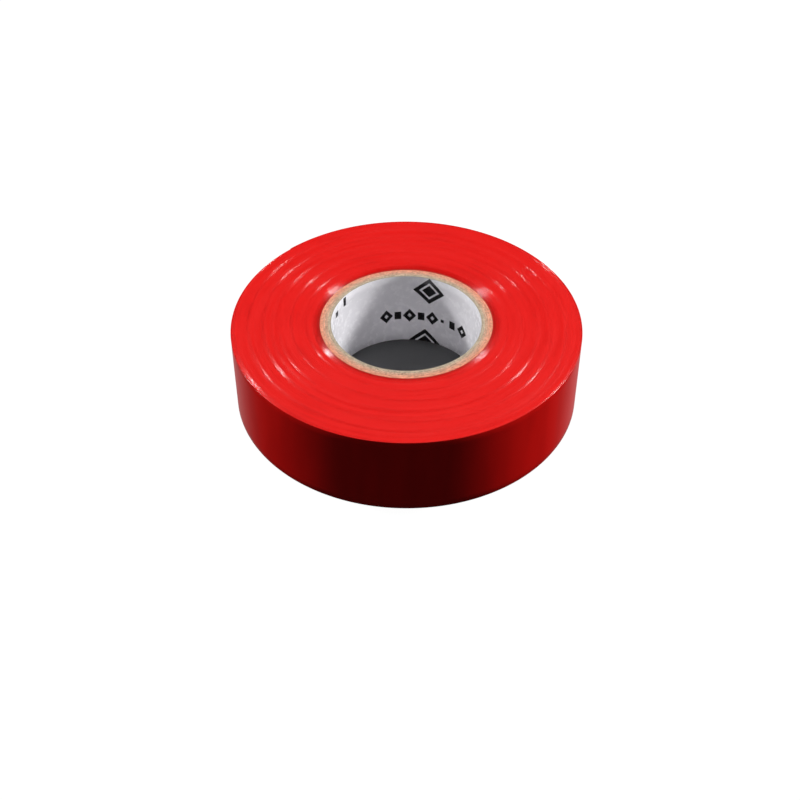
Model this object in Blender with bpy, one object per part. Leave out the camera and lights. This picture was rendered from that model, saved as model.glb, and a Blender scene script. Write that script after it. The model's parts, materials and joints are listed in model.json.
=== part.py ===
"""Electrical tape roll: one long strip of tape wound on a paperboard core, with a free end that peels.

The unit is the metre and +Z is up. The roll lies flat, and the centre of its lower face is the origin.
Angles are measured about +Z from +X. The strip winds outwards as the angle grows.
"""

import math

import bpy

MM = 0.001

# The tape strip: 3/4 inch wide, 7 mil thick, and 20 m long in all.
TAPE_WIDTH = 19.05 * MM
TURN_PITCH = 0.18 * MM  # film and adhesive together, so what one turn adds to the radius
ADHESIVE_GAP = 0.03 * MM  # the adhesive layer, left open between neighbouring pieces
FILM_THICKNESS = TURN_PITCH - ADHESIVE_GAP
TURNS = 110

# The core: a white liner inside four plies of kraft board.
CORE_BORE_RADIUS = 16.70 * MM
LINER_THICKNESS = 0.16 * MM
PLY_THICKNESS = 0.55 * MM
PLY_COUNT = 4
GLUE_GAP = 0.03 * MM
CORE_RECESS = 0.05 * MM  # how far each end of the core sits inside the tape's faces
SEAM_WIDTH = 0.15 * MM
LINER_SEAM_ANGLE = math.radians(276.0)
FIRST_PLY_SEAM_ANGLE = math.radians(249.0)
PLY_SEAM_STEP = math.radians(18.0)

# The free end of the strip: links in a row, hinged where the strip bends.
TIP_ANGLE = math.radians(135.0)
LINK_COUNT = 6
LINK_ANGLE = math.radians(9.0)
LINK_GAP = 0.10 * MM
TAIL_TRIM = 0.05 * MM  # keeps the moving links clear of the surface the roll lies on

# Facets: the same corners all round on every ring, so that thin gaps stay even.
FACETS_PER_TURN = 120
FACET_ANGLE = 2.0 * math.pi / FACETS_PER_TURN
SMOOTH_LIMIT = math.radians(30.0)

# Radii that follow from the sizes above.
PACK_BORE_RADIUS = (
    CORE_BORE_RADIUS + LINER_THICKNESS + PLY_COUNT * (GLUE_GAP + PLY_THICKNESS) + GLUE_GAP
)
ROLL_RADIUS = PACK_BORE_RADIUS + TURNS * TURN_PITCH
OUTER_TURN_END = 2.0 * math.pi - LINK_COUNT * LINK_ANGLE  # where the free end begins

# Linear colours and surface roughness of each material.
TAPE_RED = (0.80, 0.020, 0.013, 1.0)
KRAFT_OUTER = (0.60, 0.42, 0.28, 1.0)
KRAFT_INNER = (0.42, 0.33, 0.26, 1.0)
LINER_WHITE = (0.86, 0.86, 0.84, 1.0)


def clear_scene():
    for obj in list(bpy.data.objects):
        bpy.data.objects.remove(obj, do_unlink=True)


def make_material(name, colour, roughness, coat=0.0):
    material = bpy.data.materials.new(name)
    material.use_nodes = True
    shader = material.node_tree.nodes["Principled BSDF"]
    shader.inputs["Base Color"].default_value = colour
    shader.inputs["Roughness"].default_value = roughness
    shader.inputs["Coat Weight"].default_value = coat
    material.diffuse_color = colour
    return material


def add_piece(name, points, faces, material, origin=(0.0, 0.0, 0.0), parent=None):
    """One named solid. Its points are given in the roll's frame and stored about its own origin."""
    local = [tuple(p[k] - origin[k] for k in range(3)) for p in points]
    mesh = bpy.data.meshes.new(name)
    mesh.from_pydata(local, [], faces)
    mesh.validate()
    mesh.update()
    mesh.materials.append(material)
    for polygon in mesh.polygons:
        polygon.use_smooth = True
    mesh.set_sharp_from_angle(angle=SMOOTH_LIMIT)
    obj = bpy.data.objects.new(name, mesh)
    bpy.context.scene.collection.objects.link(obj)
    if parent is None:
        obj.location = origin
    else:
        held = parent.matrix_world.translation
        obj.parent = parent
        obj.location = tuple(origin[k] - held[k] for k in range(3))
    bpy.context.view_layer.update()
    return obj


def polar(radius, angle, height):
    return (radius * math.cos(angle), radius * math.sin(angle), height)


def outer_surface(turned):
    """Radius of the strip's outer face, at an angle turned on from where its last turn begins."""
    return ROLL_RADIUS - TURN_PITCH + TURN_PITCH * turned / (2.0 * math.pi)


def facet_stops(start, end):
    """The angles from start to end: both of these, and every facet corner between them."""
    stops = [start]
    count = int(math.floor(start / FACET_ANGLE + 1e-6)) + 1
    while count * FACET_ANGLE < end - 1e-6:
        stops.append(count * FACET_ANGLE)
        count += 1
    stops.append(end)
    return stops


def bent_strip(stations, bottom, top):
    """A closed strip through stations of (angle, inner radius, outer radius), cut square at both ends."""
    points = []
    for angle, inner, outer in stations:
        points.append(polar(inner, angle, bottom))
        points.append(polar(outer, angle, bottom))
        points.append(polar(outer, angle, top))
        points.append(polar(inner, angle, top))
    faces = [(0, 1, 2, 3)]
    for station in range(len(stations) - 1):
        here = 4 * station
        there = here + 4
        for side in range(4):
            after = (side + 1) % 4
            faces.append((here + side, there + side, there + after, here + after))
    last = 4 * (len(stations) - 1)
    faces.append((last + 3, last + 2, last + 1, last))
    return points, faces


def split_ring(inner, outer, seam_angle, bottom, top):
    """A thin tube wall with one narrow butt seam along its length."""
    half_seam = 0.5 * SEAM_WIDTH / inner
    start = (seam_angle - TIP_ANGLE) + half_seam
    stops = facet_stops(start, start + 2.0 * math.pi - 2.0 * half_seam)
    stations = [(TIP_ANGLE + turned, inner, outer) for turned in stops]
    return bent_strip(stations, bottom, top)


def add_core():
    """The liner, then each board ply around it."""
    bottom = CORE_RECESS
    top = TAPE_WIDTH - CORE_RECESS
    liner_outer = CORE_BORE_RADIUS + LINER_THICKNESS
    points, faces = split_ring(CORE_BORE_RADIUS, liner_outer, LINER_SEAM_ANGLE, bottom, top)
    add_piece("core_liner", points, faces, make_material("liner_paper", LINER_WHITE, 0.25, 0.5))
    inner = liner_outer + GLUE_GAP
    for ply in range(PLY_COUNT):
        share = ply / (PLY_COUNT - 1)
        tone = [a + share * (b - a) for a, b in zip(KRAFT_INNER, KRAFT_OUTER)]
        material = make_material(f"kraft_board_{ply + 1}", tone, 0.85)
        seam = FIRST_PLY_SEAM_ANGLE + ply * PLY_SEAM_STEP
        points, faces = split_ring(inner, inner + PLY_THICKNESS, seam, bottom, top)
        add_piece(f"core_ply_{ply + 1}", points, faces, material)
        inner += PLY_THICKNESS + GLUE_GAP


def add_tape_pack():
    """Every turn but the last, bonded into one body. A step one turn high marks where it ends."""
    points = []
    for facet in range(FACETS_PER_TURN):
        angle = TIP_ANGLE + facet * FACET_ANGLE
        points.append(polar(PACK_BORE_RADIUS, angle, 0.0))
        points.append(polar(PACK_BORE_RADIUS, angle, TAPE_WIDTH))
    first_outer = len(points)
    for facet in range(FACETS_PER_TURN + 1):
        turned = facet * FACET_ANGLE
        radius = outer_surface(turned) - TURN_PITCH
        points.append(polar(radius, TIP_ANGLE + turned, 0.0))
        points.append(polar(radius, TIP_ANGLE + turned, TAPE_WIDTH))
    low_step = (first_outer, first_outer + 1)
    high_step = (len(points) - 2, len(points) - 1)
    faces = []
    for facet in range(FACETS_PER_TURN):
        bore = 2 * facet
        next_bore = 2 * ((facet + 1) % FACETS_PER_TURN)
        rim = first_outer + 2 * facet
        next_rim = rim + 2
        closing = facet == FACETS_PER_TURN - 1
        faces.append((bore, bore + 1, next_bore + 1, next_bore))
        faces.append((rim, next_rim, next_rim + 1, rim + 1))
        lower = (bore, next_bore) + ((low_step[0],) if closing else ()) + (next_rim, rim)
        upper = (bore + 1, rim + 1, next_rim + 1) + ((low_step[1],) if closing else ()) + (next_bore + 1,)
        faces.append(lower)
        faces.append(upper)
    faces.append((low_step[0], low_step[1], high_step[1], high_step[0]))
    return add_piece("tape_pack", points, faces, make_material("tape_film_pack", TAPE_RED, 0.32, 0.3))


def film_stations(start, end):
    """The film of the last turn between two angles, each turned on from where that turn begins."""
    stations = []
    for turned in facet_stops(start, end):
        outer = outer_surface(turned)
        stations.append((TIP_ANGLE + turned, outer - FILM_THICKNESS, outer))
    return stations


def add_outer_turn():
    """The last turn, up to where the free end starts."""
    half_gap = 0.5 * LINK_GAP / ROLL_RADIUS
    points, faces = bent_strip(film_stations(2.0 * half_gap, OUTER_TURN_END - half_gap), 0.0, TAPE_WIDTH)
    add_piece("tape_outer_turn", points, faces, make_material("tape_film_turn", TAPE_RED, 0.22, 0.5))


def add_tail():
    """The free end as hinged links. Each one turns about the outer face, in the middle of the gap before it."""
    half_gap = 0.5 * LINK_GAP / ROLL_RADIUS
    previous = None
    for link in range(LINK_COUNT):
        start = OUTER_TURN_END + link * LINK_ANGLE
        end = start + LINK_ANGLE
        is_tip = link == LINK_COUNT - 1
        stations = film_stations(start + half_gap, end if is_tip else end - half_gap)
        points, faces = bent_strip(stations, TAIL_TRIM, TAPE_WIDTH - TAIL_TRIM)
        hinge = polar(outer_surface(start), TIP_ANGLE + start, 0.5 * TAPE_WIDTH)
        name = f"tape_tail_{link + 1}"
        material = make_material(f"tape_film_tail_{link + 1}", TAPE_RED, 0.22, 0.5)
        previous = add_piece(name, points, faces, material, hinge, previous)


clear_scene()
add_core()
add_tape_pack()
add_outer_turn()
add_tail()
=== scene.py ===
"""The looks of the electrical tape roll: every wound turn, the lined board core, and the free end.

Sizes are in metres. Angles are measured about +Z from +X, and the strip winds outwards as they grow.
"""

import json
import math

import bpy
import numpy as np
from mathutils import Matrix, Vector

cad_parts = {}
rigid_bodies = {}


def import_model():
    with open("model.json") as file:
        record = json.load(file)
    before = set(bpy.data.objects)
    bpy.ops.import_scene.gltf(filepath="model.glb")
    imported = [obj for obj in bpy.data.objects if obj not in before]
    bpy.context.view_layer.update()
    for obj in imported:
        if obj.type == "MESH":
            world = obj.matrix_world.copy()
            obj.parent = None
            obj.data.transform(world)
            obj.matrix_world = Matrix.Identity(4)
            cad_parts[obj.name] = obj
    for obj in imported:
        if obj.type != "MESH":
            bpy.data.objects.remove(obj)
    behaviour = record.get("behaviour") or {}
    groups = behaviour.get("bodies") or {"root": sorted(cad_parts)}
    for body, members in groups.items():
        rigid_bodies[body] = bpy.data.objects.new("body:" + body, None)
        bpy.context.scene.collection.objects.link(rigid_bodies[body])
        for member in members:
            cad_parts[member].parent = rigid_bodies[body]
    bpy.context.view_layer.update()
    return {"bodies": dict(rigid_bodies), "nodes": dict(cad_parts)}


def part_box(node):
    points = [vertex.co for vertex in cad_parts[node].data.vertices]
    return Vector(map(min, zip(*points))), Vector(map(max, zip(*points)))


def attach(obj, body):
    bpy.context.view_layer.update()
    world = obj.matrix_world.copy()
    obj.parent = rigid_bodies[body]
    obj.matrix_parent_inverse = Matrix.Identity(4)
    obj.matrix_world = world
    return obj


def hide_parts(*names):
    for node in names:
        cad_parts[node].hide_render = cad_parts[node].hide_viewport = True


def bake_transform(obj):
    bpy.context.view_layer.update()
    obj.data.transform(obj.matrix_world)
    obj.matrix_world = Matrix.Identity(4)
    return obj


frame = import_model()

MM = 0.001
FULL_TURN = 2.0 * math.pi

# ---------------------------------------------------------------- sizes, from the frame where it has them
SEED = 7
TURN_PITCH = 0.18 * MM
FILM_THICKNESS = 0.175 * MM
TIP_ANGLE = math.radians(135.0)
LINK_ANGLE = math.radians(9.0)
LINK_COUNT = sum(name.startswith("tail_") for name in frame["bodies"])
TAIL_ANGLE = LINK_COUNT * LINK_ANGLE
TURNS = 110

PLY_COUNT = sum(name.startswith("core_ply_") for name in frame["nodes"])
_, liner_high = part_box("core_liner")
_, ply_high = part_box(f"core_ply_{PLY_COUNT}")
last_low, last_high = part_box("tape_outer_turn")

TAPE_WIDTH = last_high.z - last_low.z
LINER_THICKNESS = 0.16 * MM
BORE_RADIUS = liner_high.x - LINER_THICKNESS
CORE_RADIUS = ply_high.x
PLY_THICKNESS = 0.55 * MM
CORE_GAP = 0.03 * MM
TAPE_START_RADIUS = CORE_RADIUS + CORE_GAP
ROLL_RADIUS = TAPE_START_RADIUS + TURNS * TURN_PITCH


# ---------------------------------------------------------------- mesh helpers
def make_mesh(name, points, faces, uvs=None, sharp=None, materials=(), slots=None):
    """A smooth-shaded mesh from arrays: points (n, 3), quads (m, 4), and uvs for each quad's corners."""
    mesh = bpy.data.meshes.new(name)
    mesh.from_pydata(np.asarray(points).reshape(-1, 3).tolist(), [], [list(f) for f in faces])
    if uvs is not None:
        layer = mesh.uv_layers.new(name="metres")
        layer.data.foreach_set("uv", np.asarray(uvs, np.float32).ravel())
    mesh.polygons.foreach_set("use_smooth", np.ones(len(mesh.polygons), bool))
    for material in materials:
        mesh.materials.append(material)
    if slots is not None:
        mesh.polygons.foreach_set("material_index", np.asarray(slots, np.int32))
    if sharp is not None:
        ends = np.empty(2 * len(mesh.edges), np.int32)
        mesh.edges.foreach_get("vertices", ends)
        flags = sharp(ends.reshape(-1, 2))
        attribute = mesh.attributes.get("sharp_edge") or mesh.attributes.new("sharp_edge", "BOOLEAN", "EDGE")
        attribute.data.foreach_set("value", flags)
    mesh.update()
    obj = bpy.data.objects.new(name, mesh)
    bpy.context.scene.collection.objects.link(obj)
    return obj


def polar_points(radius, angle, height):
    return np.stack([radius * np.cos(angle), radius * np.sin(angle), height], axis=-1)


def swept(name, angles, profile_at, materials, slot_at=None, cap_slot=0, u_start=0.0, cap_faces=None):
    """Sweeps a closed profile round the axis.

    profile_at(station) gives the profile's points as (angle shift, radius, height) rows, the same number at
    every station. slot_at gives the material slot of each side of the profile, which is 0 if it is left out,
    and cap_slot that of its two ends. cap_faces splits an end into smaller faces, as lists of the profile's
    corners.
    """
    rings = np.array([profile_at(i) for i in range(len(angles))])
    stations, corners = rings.shape[:2]
    if slot_at is None:
        slot_at = [0] * corners
    points = polar_points(rings[..., 1], np.asarray(angles)[:, None] + rings[..., 0], rings[..., 2])
    index = np.arange(stations * corners).reshape(stations, corners)
    here, side = np.meshgrid(np.arange(stations - 1), np.arange(corners), indexing="ij")
    there = here + 1
    after = (side + 1) % corners
    quads = np.stack(
        [index[here, side], index[there, side], index[there, after], index[here, after]], axis=-1
    ).reshape(-1, 4)
    mean_radius = rings[..., 1].mean()
    u_line = u_start + (np.asarray(angles) - angles[0]) * mean_radius
    edge = np.diff(rings[0][:, 1:], axis=0, append=rings[0][:1, 1:])
    v_line = np.concatenate([[0.0], np.cumsum(np.hypot(edge[:, 0], edge[:, 1]))])
    u_here, u_there = u_line[here], u_line[there]
    uv = np.stack(
        [
            np.stack([u_here, v_line[side]], -1),
            np.stack([u_there, v_line[side]], -1),
            np.stack([u_there, v_line[side + 1]], -1),
            np.stack([u_here, v_line[side + 1]], -1),
        ],
        axis=-2,
    ).reshape(-1, 2)
    slots = np.asarray(slot_at)[side].ravel().tolist()
    faces = quads.tolist()
    caps = []
    for cap in cap_faces or [list(range(corners))]:
        for station, loop in ((0, cap), (-1, cap[::-1])):
            faces.append(index[station][loop].tolist())
            slots.append(cap_slot)
            caps += [(u_line[station], v_line[k]) for k in loop]
    uv = np.concatenate([uv, np.array(caps)])
    end_corners = np.zeros(stations * corners, bool)
    end_corners[index[0]] = True
    end_corners[index[-1]] = True

    def at_cut_ends(ends):
        same_station = (ends[:, 0] // corners) == (ends[:, 1] // corners)
        return end_corners[ends[:, 0]] & end_corners[ends[:, 1]] & same_station

    return make_mesh(name, points, faces, uv, at_cut_ends, materials, slots)


# ---------------------------------------------------------------- node helpers
class Nodes:
    """Short calls for building one material's nodes."""

    def __init__(self, name):
        self.material = bpy.data.materials.new(name)
        self.material.use_nodes = True
        self.tree = self.material.node_tree
        self.shader = self.tree.nodes["Principled BSDF"]

    def add(self, kind, **settings):
        node = self.tree.nodes.new(kind)
        for key, value in settings.items():
            setattr(node, key, value)
        return node

    def join(self, source, target):
        self.tree.links.new(source, target)

    def math(self, operation, first, second=None, third=None, clamp=False):
        node = self.add("ShaderNodeMath", operation=operation, use_clamp=clamp)
        for socket, value in zip(node.inputs, (first, second, third)):
            if value is None:
                continue
            if isinstance(value, (int, float)):
                socket.default_value = value
            else:
                self.join(value, socket)
        return node.outputs[0]

    def noise(self, vector, scale, detail=3.0, roughness=0.55):
        node = self.add("ShaderNodeTexNoise")
        node.inputs["Scale"].default_value = scale
        node.inputs["Detail"].default_value = detail
        node.inputs["Roughness"].default_value = roughness
        self.join(vector, node.inputs["Vector"])
        return node.outputs["Fac"]

    def combine(self, x, y, z=0.0):
        node = self.add("ShaderNodeCombineXYZ")
        for socket, value in zip(node.inputs, (x, y, z)):
            if isinstance(value, (int, float)):
                socket.default_value = value
            else:
                self.join(value, socket)
        return node.outputs[0]

    def stretched(self, x, y, x_scale, y_scale):
        """A flat place, scaled by a different amount each way."""
        return self.combine(self.math("MULTIPLY", x, x_scale), self.math("MULTIPLY", y, y_scale))

    def around_axis(self, place, swirl):
        """The radius of a place, and that radius with a little of x and y, for patterns that follow rings."""
        x, y, _ = self.split(place)
        radius = self.math("SQRT", self.math("ADD", self.math("MULTIPLY", x, x), self.math("MULTIPLY", y, y)))
        rings = self.combine(radius, self.math("MULTIPLY", x, swirl), self.math("MULTIPLY", y, swirl))
        return radius, rings

    def split(self, vector):
        node = self.add("ShaderNodeSeparateXYZ")
        self.join(vector, node.inputs[0])
        return node.outputs[0], node.outputs[1], node.outputs[2]

    def object_place(self):
        return self.add("ShaderNodeTexCoord").outputs["Object"]

    def strip_place(self):
        return self.add("ShaderNodeTexCoord").outputs["UV"]

    def remap(self, value, low, high, to_low, to_high):
        node = self.add("ShaderNodeMapRange", interpolation_type="SMOOTHSTEP")
        self.join(value, node.inputs["Value"])
        node.inputs["From Min"].default_value = low
        node.inputs["From Max"].default_value = high
        node.inputs["To Min"].default_value = to_low
        node.inputs["To Max"].default_value = to_high
        return node.outputs["Result"]

    def mix(self, factor, first, second):
        node = self.add("ShaderNodeMix", data_type="RGBA")
        for key, value in (("Factor", factor), ("A", first), ("B", second)):
            socket = next(s for s in node.inputs if s.name == key and s.enabled)
            if isinstance(value, (int, float)):
                socket.default_value = value
            elif isinstance(value, tuple):
                socket.default_value = value + (1.0,)
            else:
                self.join(value, socket)
        return next(s for s in node.outputs if s.enabled)

    def bump(self, height, strength, distance):
        node = self.add("ShaderNodeBump")
        node.inputs["Strength"].default_value = strength
        node.inputs["Distance"].default_value = distance
        self.join(height, node.inputs["Height"])
        self.join(node.outputs["Normal"], self.shader.inputs["Normal"])

    def colour(self, socket):
        self.join(socket, self.shader.inputs["Base Color"])

    def roughness(self, socket):
        self.join(socket, self.shader.inputs["Roughness"])


RED = (0.780, 0.0060, 0.0044)
RED_DEEP = (0.700, 0.0048, 0.0036)
RED_PALE = (0.810, 0.0090, 0.0066)
# Painted shade: a darker red for the turns next to the core, standing in for the shade of their recess.
RED_PAINTED_SHADE = (0.500, 0.0090, 0.0055)
STRAINED_PINK = (0.84, 0.17, 0.14)
GLUE_DARK = (0.54, 0.014, 0.012)
GLUE_PALE = (0.60, 0.020, 0.016)
BOARD_AT_BORE = (0.51, 0.405, 0.290)
BOARD_AT_TAPE = (0.81, 0.320, 0.200)
BOARD_SPECK = (0.16, 0.11, 0.07)
PAPER_SHADED = (0.88, 0.865, 0.90)
PAPER_WHITE = (0.93, 0.915, 0.945)
PAPER_CUT_EDGE = (0.42, 0.36, 0.28)
INK = (0.010, 0.009, 0.010)
TIP_STRAIN = 0.9 * MM


def film_material():
    """The strip's outer face: smooth film, with very faint lines along it and a whitened torn end."""
    n = Nodes("tape_film")
    along, across, _ = n.split(n.strip_place())
    lines = n.noise(n.stretched(along, across, 40.0, 1300.0), 1.0, 2.0)
    waves = n.noise(n.stretched(along, across, 260.0, 45.0), 1.0, 1.0)
    tone = n.mix(n.remap(waves, 0.3, 0.7, 0.0, 1.0), RED_DEEP, RED)
    frayed = n.math("MULTIPLY_ADD", n.noise(n.strip_place(), 2200.0, 3.0), TIP_STRAIN, along)
    strained = n.remap(frayed, -0.8 * TIP_STRAIN, 0.6 * TIP_STRAIN, 0.0, 0.6)
    n.colour(n.mix(strained, tone, STRAINED_PINK))
    smooth_gloss = n.remap(lines, 0.3, 0.7, 0.275, 0.281)
    n.roughness(n.math("ADD", smooth_gloss, n.math("MULTIPLY", strained, 0.3)))
    height = n.math("MULTIPLY_ADD", lines, 0.006, waves)
    n.bump(height, 0.25, 0.02 * MM)
    n.shader.inputs["IOR"].default_value = 1.52
    return n.material


def adhesive_material():
    """The strip's inner face: a thin rubbery coat, duller and a little darker than the film."""
    n = Nodes("tape_adhesive")
    patches = n.noise(n.strip_place(), 420.0, 4.0, 0.6)
    n.colour(n.mix(n.remap(patches, 0.35, 0.65, 0.0, 1.0), GLUE_DARK, GLUE_PALE))
    n.roughness(n.remap(patches, 0.3, 0.7, 0.34, 0.52))
    n.bump(patches, 0.25, 0.03 * MM)
    return n.material


def edge_material():
    """The slit edges of the turns: rings of slightly different red, satin, with fine knife marks, and painted
    shade on the turns next to the core.
    """
    n = Nodes("tape_edges")
    place = n.object_place()
    radius, ring_place = n.around_axis(place, 0.05)
    rings = n.noise(ring_place, 1400.0, 4.0, 0.7)
    patches = n.noise(place, 90.0, 3.0)
    tone = n.math("ADD", n.math("MULTIPLY", rings, 0.6), n.math("MULTIPLY", patches, 0.4))
    deep_to_red = n.mix(n.remap(tone, 0.32, 0.5, 0.0, 1.0), RED_DEEP, RED)
    body = n.mix(n.remap(tone, 0.5, 0.72, 0.0, 1.0), deep_to_red, RED_PALE)
    # Painted shade: within 1.1 mm of the core the edges fade to a darker red, standing in for the shade of
    # the recessed first turns.
    painted_core_shade = n.remap(radius, TAPE_START_RADIUS, TAPE_START_RADIUS + 1.1 * MM, 1.0, 0.0)
    n.colour(n.mix(painted_core_shade, body, RED_PAINTED_SHADE))
    # The steep shoulders of the turns shine more than the flat of their edges.
    _, _, facing_up = n.split(n.add("ShaderNodeNewGeometry").outputs["Normal"])
    steep = n.remap(n.math("ABSOLUTE", facing_up), 0.86, 0.96, 0.27, 0.0)
    n.roughness(n.math("SUBTRACT", n.remap(rings, 0.3, 0.7, 0.42, 0.52), steep))
    n.bump(rings, 0.08, 0.02 * MM)
    n.shader.inputs["IOR"].default_value = 1.5
    n.shader.inputs["Specular IOR Level"].default_value = 0.36
    n.shader.inputs["Coat Weight"].default_value = 0.28
    n.shader.inputs["Coat Roughness"].default_value = 0.12
    return n.material


def board_material(share):
    """Kraft board seen on its cut end: greyer near the bore, warmer outside, with fibres along the ply.

    share is 0 for the ply at the bore and 1 for the ply at the tape.
    """
    n = Nodes(f"kraft_board_{round((PLY_COUNT - 1) * share) + 1}")
    place = n.object_place()
    _, ring_place = n.around_axis(place, 0.12)
    layers = n.noise(ring_place, 5200.0, 4.0, 0.7)
    fibres = n.noise(place, 2300.0, 5.0, 0.7)
    specks = n.noise(place, 5200.0, 2.0, 0.5)
    base = tuple(a + share * (b - a) for a, b in zip(BOARD_AT_BORE, BOARD_AT_TAPE))
    dark = tuple(0.55 * c for c in base)
    pale = tuple(min(1.0, 1.28 * c) for c in base)
    tone = n.math("ADD", n.math("MULTIPLY", layers, 0.5), n.math("MULTIPLY", fibres, 0.5))
    body = n.mix(n.remap(tone, 0.35, 0.65, 0.0, 1.0), dark, pale)
    n.colour(n.mix(n.remap(specks, 0.68, 0.75, 0.0, 0.55), body, BOARD_SPECK))
    n.shader.inputs["Roughness"].default_value = 0.9
    n.bump(tone, 0.8, 0.08 * MM)
    return n.material


def tape_strip_profile(outer, rows):
    """The strip's section at one station: up its outer face, then back down its inner face."""
    edge = 0.08 * MM
    soft = 0.3 * edge
    inner = outer - FILM_THICKNESS
    high = TAPE_WIDTH
    face = [(0.0, outer, edge + (high - 2 * edge) * k / rows) for k in range(rows + 1)]
    top = [(0.0, outer - soft, high - soft), (0.0, outer - edge, high), (0.0, inner + soft, high)]
    inner_face = [(0.0, inner, height) for _, _, height in reversed(face)]
    bottom = [(0.0, inner + soft, 0.0), (0.0, outer - edge, 0.0), (0.0, outer - soft, soft)]
    return face + top + inner_face + bottom


def strip_slots(rows):
    """Film on the outer face, slit edge round both edges, adhesive on the inner face."""
    film, edge, glue = 0, 1, 2
    return [film] * rows + [edge] * 4 + [glue] * rows + [edge] * 4


def strip_end_faces(rows):
    """The strip's end as a ladder of small faces across its thickness, so that a tear keeps its shape."""
    corners = 2 * rows + 8
    facing = 2 * rows + 4
    ladder = [[(k - 1) % corners, k, facing - k, facing - k + 1] for k in range(rows + 1, -1, -1)]
    return [[rows + 1, rows + 2, rows + 3]] + ladder + [[corners - 3, corners - 2, corners - 1]]


# A bell curve's full width at half height, in standard deviations.
BELL_WIDTH = 2.355


def smooth_noise(rng, count, width):
    """A ring of random numbers, blurred to bumps about as wide as the number of samples given."""
    raw = rng.standard_normal(count)
    spectrum = np.fft.rfft(raw)
    frequency = np.fft.rfftfreq(count)
    spectrum *= np.exp(-0.5 * (2 * math.pi * frequency * width / BELL_WIDTH) ** 2)
    out = np.fft.irfft(spectrum, count)
    return out / max(np.abs(out).max(), 1e-9)


def turn_noise(rng, turns, stations, turn_width, station_width):
    """Random numbers for every station of every turn, blurred along the strip and across the turns."""
    raw = rng.standard_normal((turns, stations))
    spectrum = np.fft.rfft2(raw)
    across = np.fft.fftfreq(turns)[:, None]
    along = np.fft.rfftfreq(stations)[None, :]
    spread = (across * turn_width / BELL_WIDTH) ** 2 + (along * station_width / BELL_WIDTH) ** 2
    spectrum *= np.exp(-0.5 * (2 * math.pi) ** 2 * spread)
    out = np.fft.irfft2(spectrum, s=raw.shape)
    return (out / out.std()).ravel()


# ---------------------------------------------------------------- the wound turns
STATIONS_PER_TURN = 144
EDGE_MARGIN = 0.055 * MM
# Bands of turns with steeper shoulders. Steps, starts, widths and ovals are counted in turns.
BAND_STEP = 17.7
BAND_START = 1.8
BAND_OVAL = 4.0
BAND_WIDTH = 2.5
BAND_LOW_SIDE = math.radians(212.0)
BAND_STRONG_SIDE = math.radians(234.0)


def rib_lines(turns):
    """The lines that one end face of the wound turns is ruled by, each with a number for every station.

    Station s lies on the strip as it winds out: its inner groove is shared with the turn inside it, and
    the groove one turn further on is its outer one. The edge between them is flat from one shoulder to
    the other, and slopes down to a groove on both sides.
    """
    rng = np.random.default_rng(SEED)
    per_turn = STATIONS_PER_TURN
    total = turns * per_turn
    station = np.arange(total + per_turn + 1)
    angle = TIP_ANGLE + FULL_TURN * station / per_turn
    groove = TAPE_START_RADIUS + TURN_PITCH * station / per_turn
    groove[:per_turn] = TAPE_START_RADIUS
    inner = groove[: total + 1]
    outer = groove[per_turn:]
    count = turns + 2
    turn_number = np.arange(count * per_turn) / per_turn
    at_core = np.exp(-((turn_number - 4.5) / 5.5) ** 2)
    at_rim = np.exp((turn_number - turns) / 2.0)
    # The bands are evenly spaced, a little oval, and stronger on one side.
    around = TIP_ANGLE + FULL_TURN * turn_number
    oval = BAND_OVAL * np.sin(2.0 * (around - BAND_LOW_SIDE) - 0.5 * math.pi)
    from_band = (turn_number - BAND_START - oval) / BAND_STEP
    from_band = (from_band - np.round(from_band)) * BAND_STEP
    in_band = np.exp(-(from_band / BAND_WIDTH) ** 2)
    wander = turn_noise(rng, count, per_turn, 5.0, 70.0)
    jitter = turn_noise(rng, count, per_turn, 0.7, 30.0)
    shift = np.clip(0.010 * wander + 0.0015 * jitter, -0.05, 0.05) * MM
    patches = turn_noise(rng, count, per_turn, 0.8, 9.0)
    band_strength = 0.68 + 0.15 * np.cos(around - BAND_STRONG_SIDE) - 0.10 * turn_number / turns
    steepness = 1.2 * at_core + 0.55 * at_rim + band_strength * in_band + 0.07 * patches - 0.05
    step = np.clip(steepness, 0.0, 1.0)
    slope = 0.25 + 0.85 * step * step * (3.0 - 2.0 * step)
    outer_share = 0.18 + 0.26 * at_core
    depth = outer_share * TURN_PITCH * slope * (1.0 + 0.08 * jitter.clip(-1.5, 1.5))
    recess = 0.02 * MM * np.exp(-turn_number / 1.2)
    return {
        "angle": angle,
        "groove": groove,
        "shoulder_in": inner + (0.055 + 0.09 * step[: total + 1]) * TURN_PITCH,
        "shoulder_out": outer - outer_share[: total + 1] * TURN_PITCH,
        "shift": shift[: len(station)],
        "depth": depth[: len(station)],
        "recess": recess[: len(station)],
    }


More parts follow.
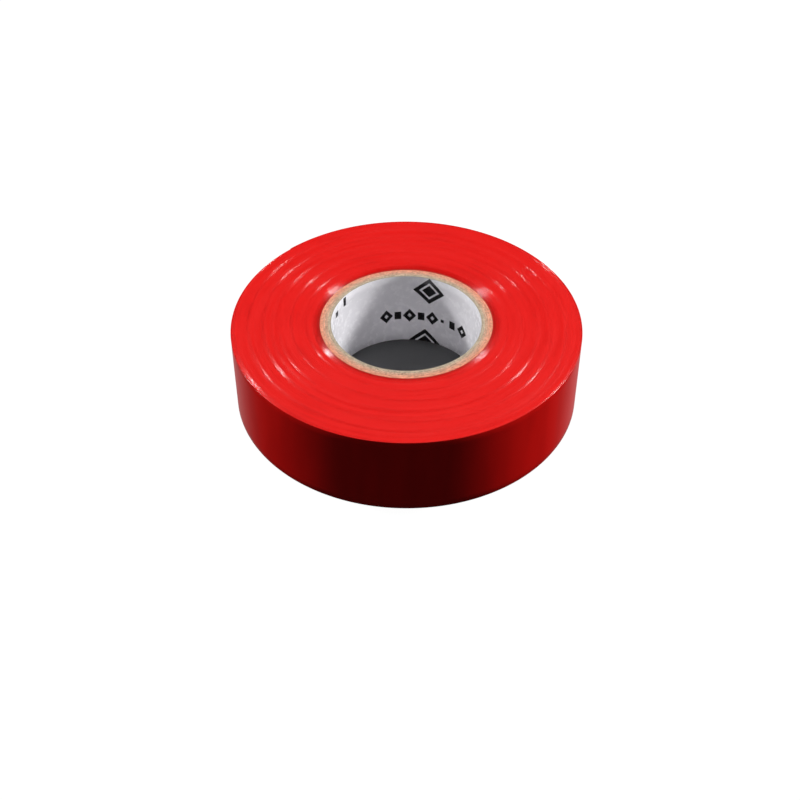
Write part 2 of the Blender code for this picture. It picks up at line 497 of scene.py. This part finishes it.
def ribbed_face(lines, face_height, sign, offset):
    """One end face of the wound turns: its points, its faces, and the numbers of its three rows of points.

    sign is -1 for the face that looks up and 1 for the one that looks down. offset is the first number.
    """
    per_turn = STATIONS_PER_TURN
    angle, groove = lines["angle"], lines["groove"]
    flats = len(lines["shoulder_in"])
    height = np.clip(face_height + lines["shift"] + sign * lines["recess"], 0.0, TAPE_WIDTH)
    crown = height[:flats]
    points = [
        polar_points(groove, angle, height + sign * lines["depth"]),
        polar_points(lines["shoulder_in"], angle[:flats], crown),
        polar_points(lines["shoulder_out"], angle[:flats], crown),
    ]
    g = offset + np.arange(len(groove))
    a = offset + len(groove) + np.arange(flats)
    b = a + flats
    s = np.arange(flats - 1)
    quads = np.concatenate([
        np.stack([g[s], a[s], a[s + 1], g[s + 1]], -1),
        np.stack([a[s], b[s], b[s + 1], a[s + 1]], -1),
        np.stack([b[s], g[s + per_turn], g[s + 1 + per_turn], b[s + 1]], -1),
    ])
    # The strip's starting edge, on the core: it closes the wedge between the first turn and the second.
    start = [g[0], a[0], b[0], g[per_turn], g[per_turn - 1]]
    if sign > 0:
        quads = quads[:, ::-1]
        start = start[::-1]
    return points, quads.tolist() + [[int(k) for k in start]], (g, a, b)


def add_wound_tape(film, edges):
    """Every turn but the last, as one closed body whose two faces are ribbed by the edges of the turns."""
    lines = rib_lines(TURNS - 2)
    top_points, top_faces, (g, a, b) = ribbed_face(lines, TAPE_WIDTH - EDGE_MARGIN, -1.0, 0)
    low_points, low_faces, (g_low, a_low, b_low) = ribbed_face(lines, EDGE_MARGIN, 1.0, int(b[-1]) + 1)
    faces = top_faces + low_faces
    edge_faces = len(faces)
    ring = np.arange(STATIONS_PER_TURN)
    after = (ring + 1) % STATIONS_PER_TURN
    faces += np.stack([g[ring], g[after], g_low[after], g_low[ring]], -1).tolist()
    rim = np.concatenate([g[len(a) - 1:], [b[-1]], [a[-1]]])
    rim_low = np.concatenate([g_low[len(a) - 1:], [b_low[-1]], [a_low[-1]]])
    faces += np.stack([rim, rim_low, np.roll(rim_low, -1), np.roll(rim, -1)], -1).tolist()
    slots = [1] * edge_faces + [0] * (len(faces) - edge_faces)
    points = np.concatenate(top_points + low_points)
    in_groove = np.zeros(len(points), bool)
    in_groove[g] = True
    in_groove[g_low] = True
    corner_heights = points[np.concatenate(faces), 2]
    uvs = np.stack([np.full(len(corner_heights), -FULL_TURN * ROLL_RADIUS), corner_heights], axis=-1)
    piece = make_mesh(
        "wound_tape", points, faces, uvs,
        sharp=lambda ends: in_groove[ends[:, 0]] & in_groove[ends[:, 1]],
        materials=(film, edges), slots=slots,
    )
    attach(piece, "roll")
    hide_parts("tape_pack")


def outer_radius(turned):
    """Radius of the strip's outer face on its last turn, by the angle turned since that turn began."""
    return ROLL_RADIUS - TURN_PITCH + TURN_PITCH * turned / FULL_TURN


def strip_piece(name, start, end, step, materials, ragged_end=False):
    """One stretch of the last turn, as a closed strip. start, end and step are angles from its beginning."""
    rows = 24 if ragged_end else 12
    tear = smooth_noise(np.random.default_rng(SEED + 1), 64, 3.0)
    tear_steps = 48
    count = max(2, int(round((end - start) / step)) + 1)
    turned = np.linspace(start, end, count)
    tip_reach = 1.6 * MM / ROLL_RADIUS

    def profile(i):
        here = turned[i]
        section = tape_strip_profile(outer_radius(here), rows)
        if not ragged_end:
            return section
        near_tip = max(0.0, 1.0 - (end - here) / tip_reach)
        shifted = []
        for shift, radius, height in section:
            share = height / TAPE_WIDTH
            jag = 0.14 * tear[int(tear_steps * share)]
            pull = (0.15 + 0.45 * math.sin(math.pi * share) + jag) * MM / ROLL_RADIUS
            shifted.append((shift - pull * near_tip, radius, height))
        return shifted

    return swept(name, TIP_ANGLE + turned, profile, materials, strip_slots(rows), cap_slot=1,
                 u_start=-(FULL_TURN - start) * ROLL_RADIUS, cap_faces=strip_end_faces(rows))


def add_last_turn(materials):
    """The last turn up to where its free end begins."""
    piece = strip_piece("last_turn", 0.0, FULL_TURN - TAIL_ANGLE, math.radians(0.75), materials)
    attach(piece, "roll")
    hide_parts("tape_outer_turn")


def add_tail(materials):
    """The free end: one stretch for each link, curved smoothly over its length along the last turn."""
    for link in range(LINK_COUNT):
        start = FULL_TURN - TAIL_ANGLE + link * LINK_ANGLE
        end = start + LINK_ANGLE
        piece = strip_piece(f"tail_strip_{link + 1}", start, end, math.radians(0.375), materials,
                            ragged_end=link == LINK_COUNT - 1)
        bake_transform(piece)
        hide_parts(f"tape_tail_{link + 1}")


# ---------------------------------------------------------------- the core
RING_STATIONS = 481
END_POINTS = 7
PLY_OVERLAP = 0.014 * MM


def tube_profile(inner, outer, low, high, soften, rough):
    """A tube wall's section: up the outer side, over the end, down the bore side. rough moves the ends."""
    across = np.linspace(0.0, 1.0, END_POINTS)
    crown = soften * (1.0 - np.abs(2.0 * across - 1.0) ** 3)
    side_rows = 4
    outer_side = [(0.0, outer, low + soften + (high - low - 2 * soften) * k / side_rows)
                  for k in range(side_rows + 1)]
    top = [(0.0, outer + (inner - outer) * c, high - soften + crown[k] + rough[0][k])
           for k, c in enumerate(across) if 0 < k < END_POINTS - 1]
    inner_side = [(0.0, inner, high - soften - (high - low - 2 * soften) * k / side_rows)
                  for k in range(side_rows + 1)]
    bottom = [(0.0, inner + (outer - inner) * c, low + soften - crown[k] - rough[1][k])
              for k, c in enumerate(across) if 0 < k < END_POINTS - 1]
    return outer_side + top + inner_side + bottom


def add_board_plies():
    """The board plies, each a little uneven on its cut ends, with a butt seam."""
    rng = np.random.default_rng(SEED + 2)
    for ply in range(1, PLY_COUNT + 1):
        low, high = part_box(f"core_ply_{ply}")
        outer = high.x + (PLY_OVERLAP if ply < PLY_COUNT else 0.0)
        inner = high.x - PLY_THICKNESS - PLY_OVERLAP
        seam = math.radians(249.0 + 18.0 * (ply - 1))
        half_seam = 0.05 * MM / inner
        angles = np.linspace(seam + half_seam, seam + FULL_TURN - half_seam, RING_STATIONS)
        bumps = [smooth_noise(rng, RING_STATIONS, 5.0) for _ in range(2 * END_POINTS)]
        bumps = np.reshape(bumps, (2, END_POINTS, RING_STATIONS))
        material = board_material((ply - 1) / (PLY_COUNT - 1))

        def profile(i):
            rough = -0.02 * MM * np.abs(bumps[:, :, i])
            return tube_profile(inner, outer, low.z, high.z, 0.05 * MM, rough)

        piece = swept(f"board_ply_{ply}", angles, profile, (material,))
        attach(piece, "roll")
        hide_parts(f"core_ply_{ply}")


# ---------------------------------------------------------------- the printed liner
def ink_mask(n, u, v):
    """Where the liner carries ink: two big lozenges and a row of bars and lozenges. u and v are in mm."""
    degree = FULL_TURN / 360.0 * BORE_RADIUS / MM
    width_mm = TAPE_WIDTH / MM

    def off(line, middle):
        return n.math("ABSOLUTE", n.math("SUBTRACT", line, middle))

    def within(value, limit):
        return n.math("LESS_THAN", value, limit)

    def between(value, low, high):
        return n.math("MULTIPLY", n.math("GREATER_THAN", value, low), within(value, high))

    def bar(middle_u, middle_v, width, height):
        in_width = within(off(u, middle_u), 0.5 * width)
        in_height = within(off(v, middle_v), 0.5 * height)
        return n.math("MULTIPLY", in_width, in_height)

    def lozenge(middle_u, middle_v, width, height, hollow=0.0):
        """A lozenge with a bold rim, and a solid middle unless it is hollow."""
        share = n.math("ADD", n.math("MULTIPLY", off(u, middle_u), 2.0 / width),
                       n.math("MULTIPLY", off(v, middle_v), 2.0 / height))
        if hollow:
            return between(share, hollow, 1.0)
        return n.math("ADD", between(share, 0.64, 1.0), within(share, 0.46))

    row_height = 0.395 * width_mm
    marks = [
        lozenge(71.0 * degree, width_mm - 3.8, 7.7, 7.3),
        lozenge(74.0 * degree, 0.2, 7.7, 7.3),
        bar(59.0 * degree, row_height, 0.9, 0.9),
        bar(147.0 * degree, width_mm - 1.6, 1.0, 2.4),
        bar(160.0 * degree, width_mm - 2.6, 1.4, 1.4),
    ]
    for number, angle in enumerate((106.0, 96.5, 87.0, 77.5, 68.0, 49.5, 38.5)):
        middle = angle * degree
        if number % 2:
            marks.append(bar(middle, row_height, 1.6, 2.2))
        else:
            marks.append(lozenge(middle, row_height, 3.2, 3.9, hollow=0.32))
    total = marks[0]
    for mark in marks[1:]:
        total = n.math("ADD", total, mark, clamp=True)
    return total


def liner_material():
    """Coated white paper, printed in black on the bore side."""
    n = Nodes("liner_paper")
    u, v, _ = n.split(n.strip_place())
    place = n.object_place()
    # The marks come twice round the bore.
    half_round = 180.0 * FULL_TURN / 360.0 * BORE_RADIUS / MM
    ragged = n.math("MULTIPLY", n.math("SUBTRACT", n.noise(place, 3500.0, 3.0), 0.5), 0.16)
    share_of_half = n.math("FRACT", n.math("DIVIDE", u, half_round))
    u_mm = n.math("ADD", n.math("MULTIPLY", share_of_half, half_round), ragged)
    v_mm = n.math("ADD", v, ragged)
    ink = ink_mask(n, u_mm, v_mm)
    mottle = n.noise(place, 700.0, 4.0)
    white = n.mix(n.remap(mottle, 0.3, 0.7, 0.0, 1.0), PAPER_SHADED, PAPER_WHITE)
    printed = n.mix(ink, white, INK)
    half_width_mm = 0.5 * TAPE_WIDTH / MM
    from_middle = n.math("ABSOLUTE", n.math("SUBTRACT", v, half_width_mm))
    cut_edge = n.math("GREATER_THAN", from_middle, half_width_mm - 0.09)
    n.colour(n.mix(cut_edge, printed, PAPER_CUT_EDGE))
    n.roughness(n.remap(mottle, 0.3, 0.7, 0.20, 0.30))
    n.bump(n.noise(place, 500.0, 3.0), 0.10, 0.05 * MM)
    n.shader.inputs["Coat Weight"].default_value = 0.35
    n.shader.inputs["Coat Roughness"].default_value = 0.12
    return n.material


def add_liner():
    """The liner: a thin sheet rolled into the bore, with its two edges meeting at a seam."""
    low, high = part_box("core_liner")
    inner, outer = BORE_RADIUS, high.x + 0.02 * MM
    seam = math.radians(276.0)
    half_seam = 0.06 * MM / inner
    angles = np.linspace(seam + half_seam, seam + FULL_TURN - half_seam, RING_STATIONS)
    rows = 8
    edge = 0.03 * MM
    tall = high.z - low.z - 2 * edge
    outer_side = [(0.0, outer, low.z + edge + tall * k / rows) for k in range(rows + 1)]
    top = [(0.0, outer - edge, high.z), (0.0, inner + edge, high.z)]
    inner_side = [(0.0, inner, high.z - edge - tall * k / rows) for k in range(rows + 1)]
    bottom = [(0.0, inner + edge, low.z), (0.0, outer - edge, low.z)]
    profile = outer_side + top + inner_side + bottom
    piece = swept("core_lining", angles, lambda i: profile, (liner_material(),))
    lay_flat(piece)
    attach(piece, "roll")
    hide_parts("core_liner")


def lay_flat(piece):
    """Sets the liner's UVs to places on the unrolled paper: millimetres round, millimetres up."""
    layer = piece.data.uv_layers[0]
    for polygon in piece.data.polygons:
        corner_angles = []
        for loop in polygon.loop_indices:
            point = piece.data.vertices[piece.data.loops[loop].vertex_index].co
            corner_angles.append(math.atan2(point.y, point.x) % FULL_TURN)
        if max(corner_angles) - min(corner_angles) > math.pi:
            corner_angles = [a + FULL_TURN if a < math.pi else a for a in corner_angles]
        for loop, corner_angle in zip(polygon.loop_indices, corner_angles):
            point = piece.data.vertices[piece.data.loops[loop].vertex_index].co
            layer.data[loop].uv = (corner_angle * BORE_RADIUS / MM, point.z / MM)


# ---------------------------------------------------------------- the studio
LAMP_DISTANCE = 0.6
WHITE_LEVEL = 0.98
CAMERA_ELEVATION = math.radians(42.17)
CAMERA_DISTANCE = 7.736 * ROLL_RADIUS
CAMERA_AIM = Vector((-0.0356 * ROLL_RADIUS, 0.0, -0.1164 * ROLL_RADIUS))
CAMERA_LENS = 57.96


def flat_disc(name, radius, height, material, segments=96):
    turn = np.linspace(0.0, FULL_TURN, segments, endpoint=False)
    rim = polar_points(np.full(segments, radius), turn, np.full(segments, height))
    return make_mesh(name, rim, [list(range(segments))], materials=(material,))


def add_floor():
    """A white floor that glows by itself and lights nothing, and a dark patch that shows through the core."""
    n = Nodes("floor_pale")
    n.shader.inputs["Base Color"].default_value = (0.06, 0.06, 0.06, 1.0)
    n.shader.inputs["Roughness"].default_value = 1.0
    n.shader.inputs["Specular IOR Level"].default_value = 0.0
    n.shader.inputs["Emission Color"].default_value = (1.0, 1.0, 1.0, 1.0)
    n.shader.inputs["Emission Strength"].default_value = WHITE_LEVEL
    floor = flat_disc("floor", 4.0, -0.02 * MM, n.material)
    floor.visible_diffuse = False
    floor.visible_glossy = False
    n = Nodes("floor_under_core")
    n.shader.inputs["Base Color"].default_value = (0.105, 0.107, 0.110, 1.0)
    n.shader.inputs["Roughness"].default_value = 0.7
    patch = flat_disc("floor_under_core", CORE_RADIUS - 1.0 * MM, 0.01 * MM, n.material)


def add_lamp(name, azimuth, elevation, size, watts, glossy):
    data = bpy.data.lights.new(name, "AREA")
    data.shape = "DISK"
    data.size = size
    data.energy = watts
    lamp = bpy.data.objects.new(name, data)
    bpy.context.scene.collection.objects.link(lamp)
    level = math.cos(elevation)
    direction = Vector((level * math.cos(azimuth), level * math.sin(azimuth), math.sin(elevation)))
    lamp.location = direction * LAMP_DISTANCE + Vector((0.0, 0.0, TAPE_WIDTH))
    lamp.rotation_euler = direction.to_track_quat("Z", "Y").to_euler()
    lamp.visible_camera = False
    lamp.visible_glossy = glossy


def add_lights():
    """Two soft lamps, left and right behind the roll, and weak fills that leave no reflection."""
    for name, azimuth, elevation, size, watts, glossy in (
        ("lamp_left", 161.5, 31.0, 0.09, 2.8, True),
        ("lamp_right", 13.5, 31.0, 0.15, 4.0, True),
        ("fill_left", -158.0, 14.0, 0.40, 0.22, False),
        ("fill_right", -27.0, 14.0, 0.40, 0.16, False),
        ("fill_front", -90.0, 20.0, 0.40, 0.01, False),
        ("fill_top", 90.0, 88.0, 0.30, 0.38, False),
    ):
        add_lamp(name, math.radians(azimuth), math.radians(elevation), size, watts, glossy)


def add_grade(tree, value, low, high, to_low, to_high):
    """A smooth step from to_low to to_high, as value goes from low to high."""
    node = tree.nodes.new("ShaderNodeMapRange")
    node.interpolation_type = "SMOOTHSTEP"
    tree.links.new(value, node.inputs["Value"])
    node.inputs["From Min"].default_value = low
    node.inputs["From Max"].default_value = high
    node.inputs["To Min"].default_value = to_low
    node.inputs["To Max"].default_value = to_high
    return node.outputs["Result"]


def add_world():
    """Dim in front and brighter behind, so that the roll's sides fall dark; plain pale to the camera."""
    world = bpy.data.worlds.new("studio")
    bpy.context.scene.world = world
    world.use_nodes = True
    tree = world.node_tree
    background = tree.nodes["Background"]
    coordinate = tree.nodes.new("ShaderNodeTexCoord")
    split = tree.nodes.new("ShaderNodeSeparateXYZ")
    tree.links.new(coordinate.outputs["Generated"], split.inputs[0])
    behind = add_grade(tree, split.outputs[1], 0.3, 0.9, 0.0, 0.42)
    near_horizon = add_grade(tree, split.outputs[2], -0.1, 0.5, 1.0, 0.04)
    grade = tree.nodes.new("ShaderNodeMath")
    grade.operation = "MULTIPLY_ADD"
    tree.links.new(behind, grade.inputs[0])
    tree.links.new(near_horizon, grade.inputs[1])
    grade.inputs[2].default_value = 0.012
    path = tree.nodes.new("ShaderNodeLightPath")
    seen = tree.nodes.new("ShaderNodeMix")
    tree.links.new(path.outputs["Is Camera Ray"], seen.inputs["Factor"])
    tree.links.new(grade.outputs[0], seen.inputs["A"])
    seen.inputs["B"].default_value = WHITE_LEVEL
    tree.links.new(seen.outputs[0], background.inputs["Color"])
    background.inputs["Strength"].default_value = 1.0


def add_camera():
    """Where the roll is seen from: 42 degrees above it, 0.3 m away."""
    data = bpy.data.cameras.new("camera")
    data.sensor_width = 36.0
    data.lens = CAMERA_LENS
    data.clip_start = 0.01
    camera = bpy.data.objects.new("camera", data)
    bpy.context.scene.collection.objects.link(camera)
    back = Vector((0.0, -math.cos(CAMERA_ELEVATION), math.sin(CAMERA_ELEVATION)))
    camera.location = CAMERA_AIM + CAMERA_DISTANCE * back
    camera.rotation_euler = back.to_track_quat("Z", "Y").to_euler()
    bpy.context.scene.camera = camera


def main():
    film = film_material()
    edges = edge_material()
    glue = adhesive_material()
    add_wound_tape(film, edges)
    add_last_turn((film, edges, glue))
    add_tail((film, edges, glue))
    add_board_plies()
    add_liner()
    add_floor()
    add_lights()
    add_world()
    add_camera()
    bpy.context.scene.view_settings.view_transform = "Standard"


main()
